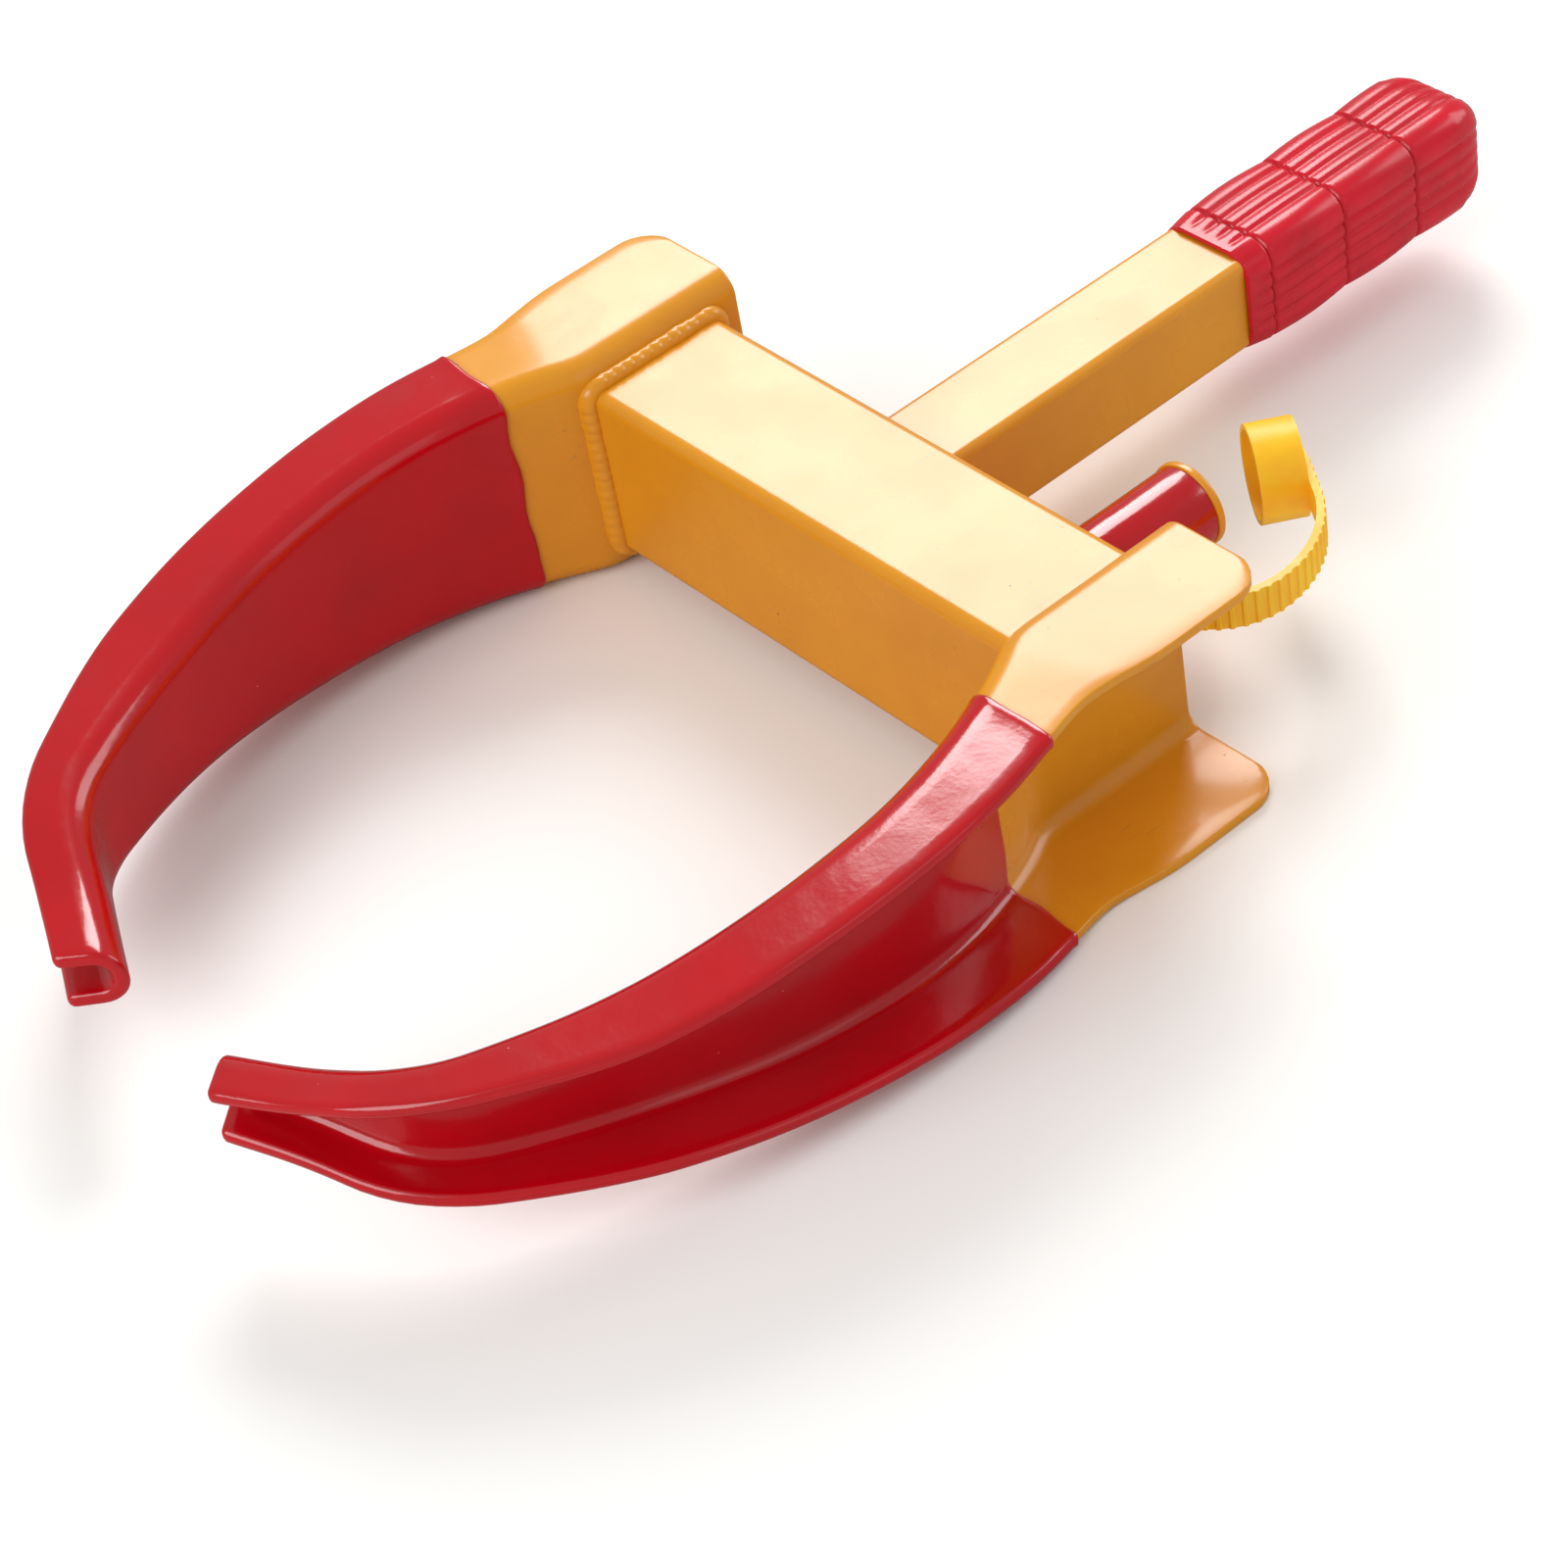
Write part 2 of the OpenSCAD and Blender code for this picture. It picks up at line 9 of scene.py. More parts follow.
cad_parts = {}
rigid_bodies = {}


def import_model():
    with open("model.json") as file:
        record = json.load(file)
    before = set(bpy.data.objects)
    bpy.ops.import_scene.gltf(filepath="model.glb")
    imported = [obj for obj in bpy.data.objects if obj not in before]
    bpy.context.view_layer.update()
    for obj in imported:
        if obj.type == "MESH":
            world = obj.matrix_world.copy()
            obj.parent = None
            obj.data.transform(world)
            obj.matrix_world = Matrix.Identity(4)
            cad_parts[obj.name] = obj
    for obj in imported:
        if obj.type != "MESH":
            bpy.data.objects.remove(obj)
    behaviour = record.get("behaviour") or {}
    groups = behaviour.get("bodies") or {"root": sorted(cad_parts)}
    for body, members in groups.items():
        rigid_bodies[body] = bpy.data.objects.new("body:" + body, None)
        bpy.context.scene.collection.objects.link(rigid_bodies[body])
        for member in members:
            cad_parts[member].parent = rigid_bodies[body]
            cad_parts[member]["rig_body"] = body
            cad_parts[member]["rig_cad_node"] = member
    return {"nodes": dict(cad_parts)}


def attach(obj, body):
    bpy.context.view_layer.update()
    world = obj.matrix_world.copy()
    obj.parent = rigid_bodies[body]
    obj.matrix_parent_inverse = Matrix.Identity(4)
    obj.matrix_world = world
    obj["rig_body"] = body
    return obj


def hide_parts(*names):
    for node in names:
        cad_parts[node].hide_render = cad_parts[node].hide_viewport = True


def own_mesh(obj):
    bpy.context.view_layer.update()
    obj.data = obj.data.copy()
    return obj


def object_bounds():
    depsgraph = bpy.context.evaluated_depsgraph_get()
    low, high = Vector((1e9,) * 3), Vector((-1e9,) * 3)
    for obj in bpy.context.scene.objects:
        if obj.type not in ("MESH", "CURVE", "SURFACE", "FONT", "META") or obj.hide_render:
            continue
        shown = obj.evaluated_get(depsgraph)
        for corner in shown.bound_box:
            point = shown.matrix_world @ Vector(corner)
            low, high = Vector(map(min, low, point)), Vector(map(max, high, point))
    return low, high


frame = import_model()
cad_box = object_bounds()

# ---------------------------------------------------------------------------------------
# Camera: a short telephoto, in front of the clamp, to its right and well above it.
# It is held tilted a little, so the clamp runs up the frame to the right.
mm = 0.001
camera_data = bpy.data.cameras.new("camera")
camera_data.lens = 90.06
camera_data.sensor_width = 36.0
camera = bpy.data.objects.new("camera", camera_data)
bpy.context.scene.collection.objects.link(camera)
bpy.context.scene.camera = camera
azimuth, elevation, tilt = math.radians(56.46), math.radians(42.04), math.radians(-11.33)
to_camera = Vector((math.sin(azimuth) * math.cos(elevation),
                    -math.cos(azimuth) * math.cos(elevation), math.sin(elevation)))
level_right = Vector((math.cos(azimuth), math.sin(azimuth), 0))
level_up = to_camera.cross(level_right)
camera_right = level_right * math.cos(tilt) + level_up * math.sin(tilt)
camera_up = level_up * math.cos(tilt) - level_right * math.sin(tilt)
aim = Vector((16.09, -29.49, -43.02)) * mm
camera_away = 1128.9   # mm from the aim to the camera
camera.matrix_world = (Matrix.Translation(aim + to_camera * camera_away * mm)
                       @ Matrix((camera_right, camera_up, to_camera)).transposed().to_4x4())
camera_data.clip_start, camera_data.clip_end = 0.05, 20

# ---------------------------------------------------------------------------------------
# Studio: a pale paper floor under the claws, one soft light behind the clamp that lies on
# the upward faces as a white sheen, and weaker fills in front, beside and behind the lock.


def linear(hex_colour):
    """An sRGB hex colour as linear RGBA."""
    parts = [int(hex_colour[i:i + 2], 16) / 255 for i in (1, 3, 5)]
    return [p / 12.92 if p <= 0.04045 else ((p + 0.055) / 1.055) ** 2.4 for p in parts] + [1.0]


def add_node(tree, kind, settings=(), links=()):
    """A shader node with its settings, and links from (node, output) pairs."""
    node = tree.nodes.new("ShaderNode" + kind)
    for key, value in dict(settings).items():
        if isinstance(key, int) or key in node.inputs:
            node.inputs[key].default_value = value
        else:
            setattr(node, key, value)
    for key, (source, output) in dict(links).items():
        tree.links.new(source.outputs[output], node.inputs[key])
    return node


def soft_light(name, place, size, power):
    """A square white light at place, in metres, that faces the clamp."""
    light = bpy.data.lights.new(name, "AREA")
    light.shape, light.size, light.energy = "SQUARE", size, power
    lamp = bpy.data.objects.new(name, light)
    lamp.location = place
    lamp.rotation_mode = "QUATERNION"
    lamp.rotation_quaternion = (aim - Vector(place)).to_track_quat("-Z", "Y")
    bpy.context.scene.collection.objects.link(lamp)


soft_light("light_behind", (-0.96, 0.875, 1.15), size=0.8, power=18)
soft_light("light_front", (0.1, -1.45, 1.0), size=1.2, power=16)
soft_light("light_right", (1.6, 0.3, 0.8), size=0.9, power=1)
soft_light("light_back", (0.5, 1.6, 0.8), size=1.0, power=9)

world = bpy.data.worlds.new("studio")
bpy.context.scene.world = world
world.use_nodes = True
surround = world.node_tree.nodes["Background"]
surround.inputs["Color"].default_value = linear("#F4F4F2")
# the room looks dimmer in reflections than it lights, so only the lamps show as sheen
seen_by = add_node(world.node_tree, "LightPath")
dim = add_node(world.node_tree, "MapRange", {"To Min": 0.54, "To Max": 0.34},
               {"Value": (seen_by, "Is Glossy Ray")})
world.node_tree.links.new(dim.outputs["Result"], surround.inputs["Strength"])
bpy.context.scene.view_settings.view_transform = "Standard"

floor_z = cad_box[0].z - 0.2 * mm
reach = 4.0            # half the paper's width, in metres
floor_mesh = bpy.data.meshes.new("floor")
floor_mesh.from_pydata([(x * reach, y * reach, floor_z)
                        for x, y in ((-1, -1), (1, -1), (1, 1), (-1, 1))], [], [(0, 1, 2, 3)])
floor = bpy.data.objects.new("floor", floor_mesh)
bpy.context.scene.collection.objects.link(floor)
paper = bpy.data.materials.new("matt_paper")
paper.use_nodes = True
paper_bsdf = paper.node_tree.nodes["Principled BSDF"]
# painted shade in reflections: glossy rays see the paper as grey, though it lights the clamp as
# near white
seen_by = add_node(paper.node_tree, "LightPath")
paper_reflection_shade = add_node(paper.node_tree, "Mix", {"data_type": "RGBA", 6: linear("#FAFAF8"),
                                         7: linear("#8C8C8A")})
paper.node_tree.links.new(seen_by.outputs["Is Glossy Ray"], paper_reflection_shade.inputs[0])
paper.node_tree.links.new(paper_reflection_shade.outputs[2], paper_bsdf.inputs["Base Color"])
paper_bsdf.inputs["Roughness"].default_value = 0.9
floor_mesh.materials.append(paper)

# ---------------------------------------------------------------------------------------
# Outer tube: 60 x 50 mm rectangular steel tube with 3 mm wall, cut square at both ends.
# It is sprayed with the claws and handle in one golden stoving enamel, after welding.


def patches(tree, where, size_mm, low, high, detail=3.0):
    """A 0 to 1 mask of soft patches about size_mm across."""
    cloud = add_node(tree, "TexNoise", {"Scale": 1000 / size_mm, "Detail": detail},
                     {"Vector": (where, "Object")})
    return add_node(tree, "MapRange", {"From Min": low, "From Max": high},
                    {"Value": (cloud, "Fac")})


def drifting(name, size_mm, low, high, colours, gloss):
    """A new material whose colour and roughness drift together in soft patches. Returns it
    with its tree, its shader, its node for the object's own space, and its colour."""
    material = bpy.data.materials.new(name)
    material.use_nodes = True
    tree = material.node_tree
    bsdf, where = tree.nodes["Principled BSDF"], add_node(tree, "TexCoord")
    cloud = patches(tree, where, size_mm, low, high)
    tone = add_node(tree, "Mix", {"data_type": "RGBA", 6: linear(colours[0]),
                                  7: linear(colours[1])}, {0: (cloud, "Result")})
    tree.links.new(tone.outputs[2], bsdf.inputs["Base Color"])
    rough = add_node(tree, "MapRange", {"To Min": gloss[0], "To Max": gloss[1]},
                     {"Value": (cloud, "Result")})
    tree.links.new(rough.outputs["Result"], bsdf.inputs["Roughness"])
    return material, tree, bsdf, where, tone


def stoving_enamel():
    """Thick glossy sprayed paint: faint orange peel, cloudy depth of colour, a few
    specks of grit under the film, and hairline rubs that show grey."""
    material, tree, bsdf, where, tone = drifting("stoving_enamel", 28, 0.35, 0.7,
                                                 ("#E0951A", "#DA8E17"), (0.26, 0.31))
    grit = add_node(tree, "TexVoronoi", {"Scale": 1000 / 9, "Randomness": 1.0},
                    {"Vector": (where, "Object")})
    speck = add_node(tree, "MapRange", {"From Min": 0.05, "From Max": 0.035},
                     {"Value": (grit, "Distance")})
    few = patches(tree, where, 21, 0.56, 0.6, 1.0)
    both = add_node(tree, "Math", {"operation": "MULTIPLY"},
                    {0: (speck, "Result"), 1: (few, "Result")})
    tone = add_node(tree, "Mix", {"data_type": "RGBA", 7: linear("#4A3212")},
                    {0: (both, "Value"), 6: (tone, 2)})
    stretch = add_node(tree, "Mapping", {"Rotation": (0.2, 0.1, 0.65), "Scale": (1.0, 0.045, 1.0)},
                       {"Vector": (where, "Object")})
    hairs = add_node(tree, "TexNoise", {"Scale": 1000 / 1.1, "Detail": 2.0},
                     {"Vector": (stretch, "Vector")})
    hair = add_node(tree, "MapRange", {"From Min": 0.66, "From Max": 0.70},
                    {"Value": (hairs, "Fac")})
    rubbed = patches(tree, where, 37, 0.58, 0.68, 2.0)
    rubs = add_node(tree, "Math", {"operation": "MULTIPLY"},
                    {0: (hair, "Result"), 1: (rubbed, "Result")})
    rubs = add_node(tree, "Math", {"operation": "MULTIPLY", 1: 0.45}, {0: (rubs, "Value")})
    tone = add_node(tree, "Mix", {"data_type": "RGBA", 7: linear("#8C6E4A")},
                    {0: (rubs, "Value"), 6: (tone, 2)})
    tree.links.new(tone.outputs[2], bsdf.inputs["Base Color"])
    peel = add_node(tree, "TexNoise", {"Scale": 1000 / 1.6, "Detail": 1.0},
                    {"Vector": (where, "Object")})
    sag = add_node(tree, "TexNoise", {"Scale": 1000 / 11, "Detail": 1.0},
                   {"Vector": (where, "Object")})
    height = add_node(tree, "Math", {"operation": "MULTIPLY_ADD", 1: 3.0},
                      {0: (sag, "Fac"), 2: (peel, "Fac")})
    bump = add_node(tree, "Bump", {"Strength": 0.35, "Distance": 0.07 * mm},
                    {"Height": (height, "Value")})
    tree.links.new(bump.outputs["Normal"], bsdf.inputs["Normal"])
    bsdf.inputs["Coat Weight"].default_value = 0.25
    bsdf.inputs["Coat Roughness"].default_value = 0.12
    bsdf.inputs["IOR"].default_value = 1.5
    return material


def finish_piece(piece, material, body, slot, *nodes):
    """Material, smooth shading with crisp edges, and the CAD body and nodes it stands for."""
    piece.data.materials.clear()
    piece.data.materials.append(material)
    piece.data.polygons.foreach_set("use_smooth", [True] * len(piece.data.polygons))
    piece.data.set_sharp_from_angle(angle=math.radians(40))
    if piece.name not in bpy.context.scene.collection.objects:
        bpy.context.scene.collection.objects.link(piece)
    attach(piece, body)
    if nodes:
        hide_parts(*nodes)
    return piece


def eased(node, name, radius, material, body, slot, segments=3, sharp=38):
    """The CAD node's own solid with every sharp edge eased by radius mm, as paint,
    deburring or moulding leaves it."""
    shape = bmesh.new()
    shape.from_mesh(frame["nodes"][node].data)
    bmesh.ops.remove_doubles(shape, verts=shape.verts, dist=2e-6)
    bmesh.ops.dissolve_limit(shape, angle_limit=math.radians(0.6), verts=shape.verts,
                             edges=shape.edges)
    crisp = [e for e in shape.edges if len(e.link_faces) == 2
             and e.calc_face_angle() > math.radians(sharp)]
    bmesh.ops.bevel(shape, geom=crisp, offset=radius * mm, segments=segments, profile=0.5,
                    affect="EDGES", clamp_overlap=True)
    mesh = bpy.data.meshes.new(name)
    shape.to_mesh(mesh)
    shape.free()
    piece = finish_piece(bpy.data.objects.new(name, mesh), material, body, slot, node)
    even = piece.modifiers.new("even_normals", "WEIGHTED_NORMAL")
    even.keep_sharp = True
    return piece


enamel = stoving_enamel()
eased("outer_tube", "painted_outer_tube", 0.5, enamel, "frame", "yellow_paint")

# ---------------------------------------------------------------------------------------
# Claws: 3 mm steel plate pressed to a channel, 78 mm tall at its root, that leaves the
# tube straight, leans out, then curls in to a narrow tip. Painted with the tube.
claw_web = 90.5        # mouth side of each claw's web, from the middle
root_l = 59.0          # path length at the tube's front face
plate_t = 3.0
bend_r = 8.0
flange_w = 40.5
half_h = 39.2
flange_corner = 12.0   # radius of a flange's back corner, seen from above
plate_lip = 0.5        # easing of the plate's cut edges
tip_lean = 0.28        # the cut at the tip leans: the flanges end sooner than the web
tip_fade = 25.0        # length over which the rings come to lean with it
claw_runs = [(54.5, 0), (11.5, 28.6), (70.5, -28.6), (113.5, -27.3), (29, -38), (41.8, 0)]
claw_l = sum(run for run, turn in claw_runs)
# share of the root's width and height at distances past the tube's front
width_shares = [(-70, 1), (-2, 1), (24, 0.74), (50, 0.675), (85, 0.635), (150, 0.60),
                (186, 0.475), (206, 0.42), (259, 0.41), (290, 0.41)]
height_shares = [(-70, 1), (6, 1), (28, 0.965), (60, 0.89), (105, 0.757), (150, 0.6),
                 (204, 0.475), (234, 0.3), (259, 0.224), (290, 0.175)]


def smooth_share(table, x):
    """Smooth curve through the points of a table."""
    if x <= table[1][0]:
        return table[1][1]
    i = max(k for k in range(1, len(table) - 2) if k == 1 or table[k][0] <= x)

    def slope(k):
        return (table[k + 1][1] - table[k - 1][1]) / (table[k + 1][0] - table[k - 1][0])
    d = table[i + 1][0] - table[i][0]
    k = (x - table[i][0]) / d
    return (table[i][1] * (1 + 2 * k) * (1 - k) ** 2 + slope(i) * d * k * (1 - k) ** 2
            + table[i + 1][1] * k * k * (3 - 2 * k) - slope(i + 1) * d * k * k * (1 - k))


def along(runs, s, x, y, heading):
    """Place and heading at length s on a path of arcs. Heading 0 points along -Y."""
    for i, (run, turn) in enumerate(runs):
        part = s if i == len(runs) - 1 else min(s, run)
        bend = math.radians(turn) * part / run
        if turn == 0:
            x, y = x + part * math.sin(heading), y - part * math.cos(heading)
        else:
            r = part / bend if bend else 0
            x, y = (x + r * (math.cos(heading) - math.cos(heading + bend)),
                    y - r * (math.sin(heading + bend) - math.sin(heading)))
        heading += bend
        s -= part
        if s <= 1e-9:
            break
    return x, y, heading


def flange_at(s):
    """Width of the flange, rounded off at the back corner."""
    cut = max(0.0, flange_corner - s)
    corner = flange_corner - math.sqrt(max(0.0, flange_corner ** 2 - cut ** 2))
    return flange_w * smooth_share(width_shares, s - root_l) - corner


def half_at(s):
    """Half the claw's height."""
    return half_h * smooth_share(height_shares, s - root_l)


def arc(cx, cz, r, start, end, steps):
    """Points round a circle's arc, with its angles in degrees."""
    turns = np.radians(np.linspace(start, end, steps + 1))
    return [(cx + r * math.cos(t), cz + r * math.sin(t)) for t in turns]


def channel(w, h, grow, lip):
    """Outline of the pressed channel as (outward, z), grown by grow, lips rounded by lip."""
    r = min(bend_r, h - 0.5)
    outer, inner = r + grow, r - plate_t - grow
    z, far = h - r, w + grow - lip
    turn, edge = 8, 3      # steps round each bend and round each lip
    corners = [arc(far, h + grow - lip, lip, 0, 90, edge), arc(r, z, outer, 90, 180, turn),
               arc(r, -z, outer, 180, 270, turn), arc(far, -h - grow + lip, lip, 270, 360, edge),
               arc(far, -h + plate_t + grow - lip, lip, 0, 90, edge),
               arc(r, -z, inner, 270, 180, turn), arc(r, z, inner, 180, 90, turn),
               arc(far, h - plate_t - grow + lip, lip, 270, 360, edge)]
    spans = [6, 12, 6, 1, 6, 12, 6, 1]     # steps along the flat after each of them
    points = []
    for i, corner in enumerate(corners):
        points += corner
        a, b = np.array(corner[-1]), np.array(corners[(i + 1) % 8][0])
        points += [tuple(a + (b - a) * k / spans[i]) for k in range(1, spans[i])]
    return np.array(points)


def loft(name, rings, closed=False):
    """Skin over equal rings of points in mm. The ends are closed in strips, unless the
    rings themselves close."""
    n, m = len(rings), len(rings[0])
    faces = [(i * m + j, i * m + (j + 1) % m, (i + 1) % n * m + (j + 1) % m, (i + 1) % n * m + j)
             for i in range(n if closed else n - 1) for j in range(m)]
    if not closed:
        last = (n - 1) * m
        for j in range(m // 2 - 1):
            faces.append((m - 1 - j, m - 2 - j, j + 1, j))
            faces.append((last + j, last + j + 1, last + m - 2 - j, last + m - 1 - j))
    mesh = bpy.data.meshes.new(name)
    mesh.from_pydata([tuple(p * mm) for ring in rings for p in ring], [], faces)
    tidy = bmesh.new()
    tidy.from_mesh(mesh)
    bmesh.ops.remove_doubles(tidy, verts=tidy.verts, dist=1e-6)
    bmesh.ops.recalc_face_normals(tidy, faces=tidy.faces)
    tidy.to_mesh(mesh)
    tidy.free()
    return bpy.data.objects.new(name, mesh)


fan_from, fan_to = root_l - 30.0, root_l + 22.0
fan_turn = along(claw_runs, fan_to, 0.0, root_l, 0.0)[2]


def facing(s, heading):
    """Way a section faces. Over the outward lean it turns more slowly than the path, as
    the pressed flanges do."""
    k = (s - fan_from) / (fan_to - fan_from)
    return heading if k <= 0 or k >= 1 else fan_turn * k * k * (3 - 2 * k)


def tip_shift(s):
    """How each point of a ring near the tip is drawn back, for the leaning cut."""
    share = max(0.0, 1 - (claw_l - s) / tip_fade)
    return (lambda q: -share * tip_lean * q[0]) if share > 0 else None


def claw_ring(side, s, grow, lip, shift=None):
    """One ring of a claw at path length s. shift moves each point further along."""
    outline = channel(flange_at(s), half_at(s), grow, lip)
    ring = []
    for j, q in enumerate(outline):
        if shift is None:
            point, at = q, s
        else:
            at = s + shift(q)
            point = channel(flange_at(at), half_at(at), grow, lip)[j]
        x, y, heading = along(claw_runs, at, 0.0, root_l, 0.0)
        way = facing(at, heading)
        ring.append((side * (claw_web + x + point[0] * math.cos(way)),
                     y + point[0] * math.sin(way), point[1]))
    return np.array(ring)


# ring stations: close together round the back corner, wider along the straight root
claw_stops = [flange_corner * (1 - math.cos(math.radians(a))) for a in (12, 25, 38, 52, 66, 80, 90)]
claw_stops += list(np.linspace(14, 52, 9))
claw_stops += list(np.arange(claw_runs[0][0], claw_l, 3.6)) + [claw_l]


def claw_plate(name, side, body, node):
    """The bare claw. Its lips and its back edge are deburred, from (station, growth, lip)."""
    eased_back = [(0.0, -0.45, 0.05), (0.12, -0.2, 0.25), (0.45, 0.0, plate_lip)]
    rings = [claw_ring(side, s + 0.01, grow, lip) for s, grow, lip in eased_back]
    rings += [claw_ring(side, s, 0, plate_lip, tip_shift(s))
              for s in claw_stops if s > eased_back[-1][0] + 0.15]
    return finish_piece(loft(name, rings), enamel, body, "yellow_paint", node)


claw_plate("fixed_claw_plate", -1, "frame", "fixed_claw")
claw_plate("moving_claw_plate", 1, "jaw", "moving_claw")

# ---------------------------------------------------------------------------------------
# Claw coating: each claw is dipped tip first in red vinyl plastisol and cured. The skin is
# about 0.8 mm, runs fat round the lips, and ends in a soft, slightly wandering edge.
skin_t = 0.8
skin_lip = 1.9         # how fat the skin runs round the lips
skin_start = root_l + 25.0
skin_lean = 0.28       # the dip line leans: further out on the flange it starts later
edge_fade = 45.0       # length over which the skin's rings straighten again
edge_wander = 1.6      # how far the dip line wanders
skin_uneven = 0.07     # how much the skin's thickness wanders


def dipped_vinyl(name):
    """Cured plastisol: wet-looking deep red, long soft ripples from running, a few pits
    and specks caught in the skin."""
    material, tree, bsdf, where, tone = drifting(name, 33, 0.3, 0.72,
                                                 ("#BE0213", "#B0020F"), (0.13, 0.22))
    dust = add_node(tree, "TexVoronoi", {"Scale": 1000 / 8, "Randomness": 1.0},
                    {"Vector": (where, "Object")})
    speck = add_node(tree, "MapRange", {"From Min": 0.035, "From Max": 0.02},
                     {"Value": (dust, "Distance")})
    few = patches(tree, where, 17, 0.55, 0.6, 1.0)
    both = add_node(tree, "Math", {"operation": "MULTIPLY"},
                    {0: (speck, "Result"), 1: (few, "Result")})
    tone = add_node(tree, "Mix", {"data_type": "RGBA", 7: linear("#E8727F")},
                    {0: (both, "Value"), 6: (tone, 2)})
    tree.links.new(tone.outputs[2], bsdf.inputs["Base Color"])
    ripple = add_node(tree, "TexNoise", {"Scale": 1000 / 9, "Detail": 1.5},
                      {"Vector": (where, "Object")})
    grain = add_node(tree, "TexNoise", {"Scale": 1000 / 1.4, "Detail": 1.0},
                     {"Vector": (where, "Object")})
    height = add_node(tree, "Math", {"operation": "MULTIPLY_ADD", 1: 5.0},
                      {0: (ripple, "Fac"), 2: (grain, "Fac")})
    height = add_node(tree, "Math", {"operation": "SUBTRACT"},
                      {0: (height, "Value"), 1: (both, "Value")})
    bump = add_node(tree, "Bump", {"Strength": 0.3, "Distance": 0.09 * mm},
                    {"Height": (height, "Value")})
    tree.links.new(bump.outputs["Normal"], bsdf.inputs["Normal"])
    bsdf.inputs["Coat Weight"].default_value = 0.5
    bsdf.inputs["Coat Roughness"].default_value = 0.07
    bsdf.inputs["IOR"].default_value = 1.52
    return material


vinyl = dipped_vinyl("dipped_vinyl")


def claw_skin(name, side, body, node):
    """The skin: its inner face lies on the plate, its outer face closes over the tip."""
    def shift_from(s):
        """The dip line's lean and wander, which fade out along the claw."""
        left = max(0.0, 1 - (s - skin_start) / edge_fade)

        def shift(q):
            wander = noise.noise(Vector((q[0] / 14, q[1] / 15, 3.1 + side)))
            return left * (skin_lean * q[0] + edge_wander * wander)
        return shift if left > 0 else tip_shift(s)

    def fat(s):
        """A little uneven thickness, as the vinyl ran before it set."""
        return skin_uneven * noise.noise(Vector((s / 17, side, 0.4)))
    stops = [s for s in claw_stops if s > skin_start + 3.5]
    inner = [claw_ring(side, s, 0.0, plate_lip, shift_from(s))
             for s in [skin_start + 3.2] + stops]
    # the soft edge, as (distance, thickness, lip): it swells to a low roll, then evens out
    rise = [(0.0, -0.02, 0.5), (0.05, 0.35, 1.0), (0.25, 0.7, 1.5), (0.6, 0.92, 1.8),
            (1.2, 1.0, skin_lip), (2.2, 0.9, skin_lip), (3.4, skin_t, skin_lip)]
    outer = [claw_ring(side, skin_start + d, grow, lip, shift_from(skin_start + d))
             for d, grow, lip in rise]
    outer += [claw_ring(side, s, skin_t + fat(s), skin_lip, shift_from(s)) for s in stops[1:-1]]
    end = 1.5          # rounding of the skin over the plate's cut tip
    for t in (0, 22, 45, 67, 90):
        a = math.radians(t)
        outer.append(claw_ring(side, claw_l + skin_t - end + end * math.sin(a),
                               skin_t - end * (1 - math.cos(a)),
                               skin_lip - 1.4 * (1 - math.cos(a)),
                               tip_shift(claw_l)))
    return finish_piece(loft(name, inner[::-1] + outer), vinyl, body, "red_pvc", node)


claw_skin("fixed_claw_dip", -1, "frame", "fixed_claw_coating")
claw_skin("moving_claw_dip", 1, "jaw", "moving_claw_coating")

# ---------------------------------------------------------------------------------------
# Weld beads: hand-run MIG fillets round the feet of the outer tube, the handle and the
# slide tube. Each is a row of overlapping crescents; those on the frame are drowned in the enamel,
# the slide tube's is bare steel.
sunk = 0.3             # how far a bead goes below the face it stands on
buried = 0.4           # how far it goes into the upstanding piece
ripple_share = 0.1     # height of the crescents, as a share of the bead's width
uneven_share = 0.13    # how much the bead's width wanders along it


def rounded_rectangle(d, h, r, step):
    """Points round a rounded rectangle, with their outward directions, step mm apart."""
    spots = []
    for turn, (cx, cz) in enumerate([(1, 1), (-1, 1), (-1, -1), (1, -1)]):
        centre = np.array([cx * (d / 2 - r), cz * (h / 2 - r)])
        for a in np.radians(np.linspace(90 * turn, 90 * turn + 90, 7)):
            out = np.array([math.cos(a), math.sin(a)])
            spots.append((centre + r * out, out))
    points, outs = [], []
    for i, (p, out) in enumerate(spots):
        q, next_out = spots[(i + 1) % len(spots)]
        n = max(1, round(np.linalg.norm(q - p) / step))
        for k in range(n):
            points.append(p + (q - p) * k / n)
            mixed = out + (next_out - out) * k / n
            outs.append(mixed / np.linalg.norm(mixed))
    return points, outs


def bead(name, foot, width, pitch, seed, material, body, slot, node, lean=None):
    """Fillet bead round a closed foot line of (point, outward, up) in mm: outward leaves the
    upstanding piece, up leaves the face it stands on. lean says how far that face has
    dropped away at a point."""
    rings, run = [], 0.0
    for i, (point, outward, up) in enumerate(foot):
        run += np.linalg.norm(point - foot[i - 1][0]) if i else 0.0
        wobble = noise.noise(Vector((run / 7, seed, 0)))
        ring = [point - buried * outward - sunk * up, point - buried * outward + width * 0.8 * up]
        for t in np.linspace(90, 0, 9):
            a = math.radians(t)
            phase = run + 0.9 * math.sin(2 * a)
            crest = abs(math.sin(math.pi * phase / pitch)) ** 0.7
            size = width * (0.86 + uneven_share * wobble + ripple_share * crest * math.sin(2 * a))
            spot = point + outward * size * math.cos(a) + up * size * math.sin(a)
            drop = lean(spot) * math.cos(a) if lean else 0.0
            ring.append(spot - up * drop)
        ring.append(point + outward * width * 0.8 - sunk * up
                    - up * (lean(point + outward * width * 0.8) if lean else 0.0))
        rings.append(np.array(ring))
    return finish_piece(loft(name, rings, closed=True), material, body, slot, node)


